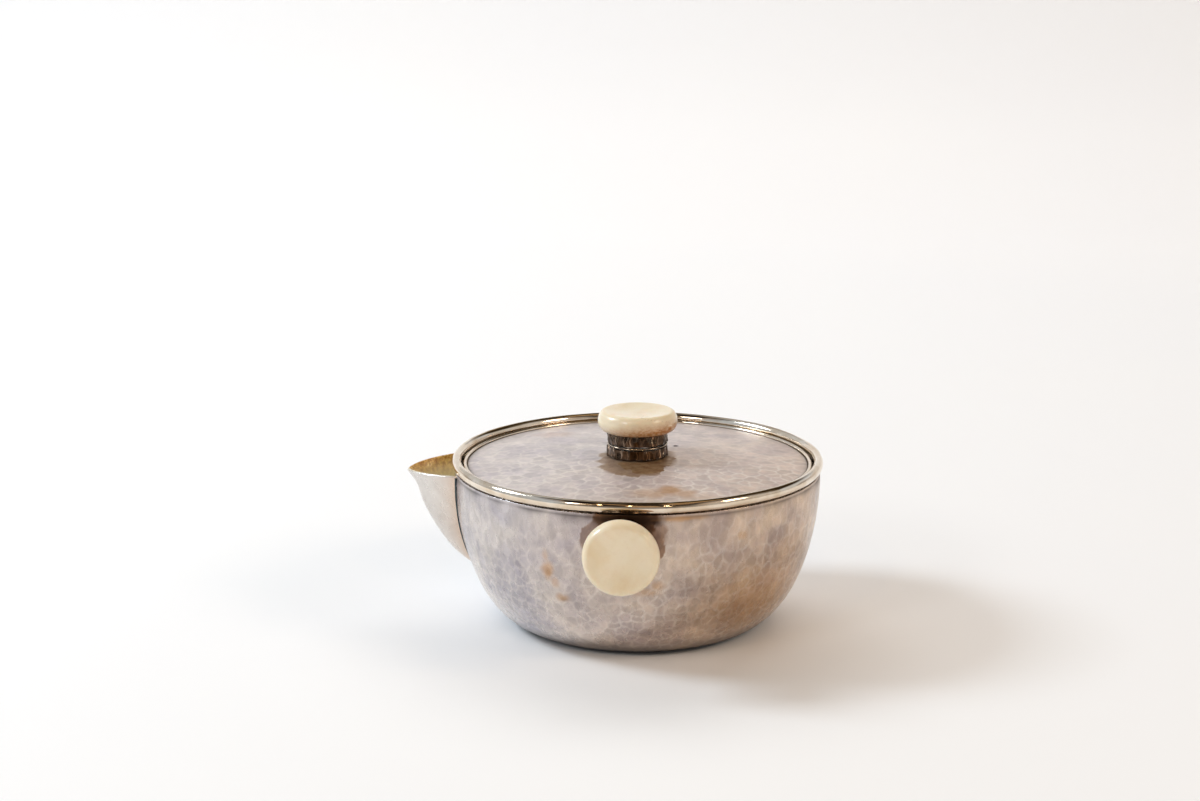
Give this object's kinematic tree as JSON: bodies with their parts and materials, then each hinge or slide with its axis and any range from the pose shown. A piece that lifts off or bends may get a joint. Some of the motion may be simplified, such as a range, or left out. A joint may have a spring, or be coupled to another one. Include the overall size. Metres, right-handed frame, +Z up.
{
  "type": "silver teapot",
  "caption": "Round side-grip teapot with a hammered bowl, open lip spout, strainer holes, lift-off lid and turned ivory-coloured knobs.",
  "frame": {"origin": "centre of the base's standing face, on the table", "axes": "+Z up along the bowl's axis; the spout points along -X and the side grip along -Y"},
  "size_m": [0.1354, 0.134, 0.0694],
  "materials": {
    "hammered_silver": "hand-hammered silver, lightly tarnished",
    "lid_silver": "hand-hammered silver, lightly tarnished",
    "spout_silver": "plain planished silver",
    "collar_silver": "bright planished silver",
    "polished_silver": "polished silver",
    "ivory": "polished, ivory-coloured"
  },
  "bodies": {
    "pot": {"bowl": "hammered_silver", "rim_moulding": "polished_silver", "lid_seat_ring": "polished_silver", "spout": "spout_silver", "grip_base_collar": "collar_silver", "grip_wire_ring": "polished_silver", "grip_cup": "collar_silver", "grip_stud": "polished_silver", "grip_disc": "ivory"},
    "lid": {"lid_shell": "lid_silver", "lid_edge_ring": "polished_silver", "lid_flange": "polished_silver", "knob_base_collar": "collar_silver", "knob_wire_ring": "polished_silver", "knob_cup": "collar_silver", "knob_stud": "polished_silver", "knob_disc": "ivory"}
  },
  "joints": [
    {"name": "lid_lift", "type": "slide", "parent": "pot", "child": "lid", "axis": [0, 0, 1], "range_m": [0, 0.06]}
  ]
}
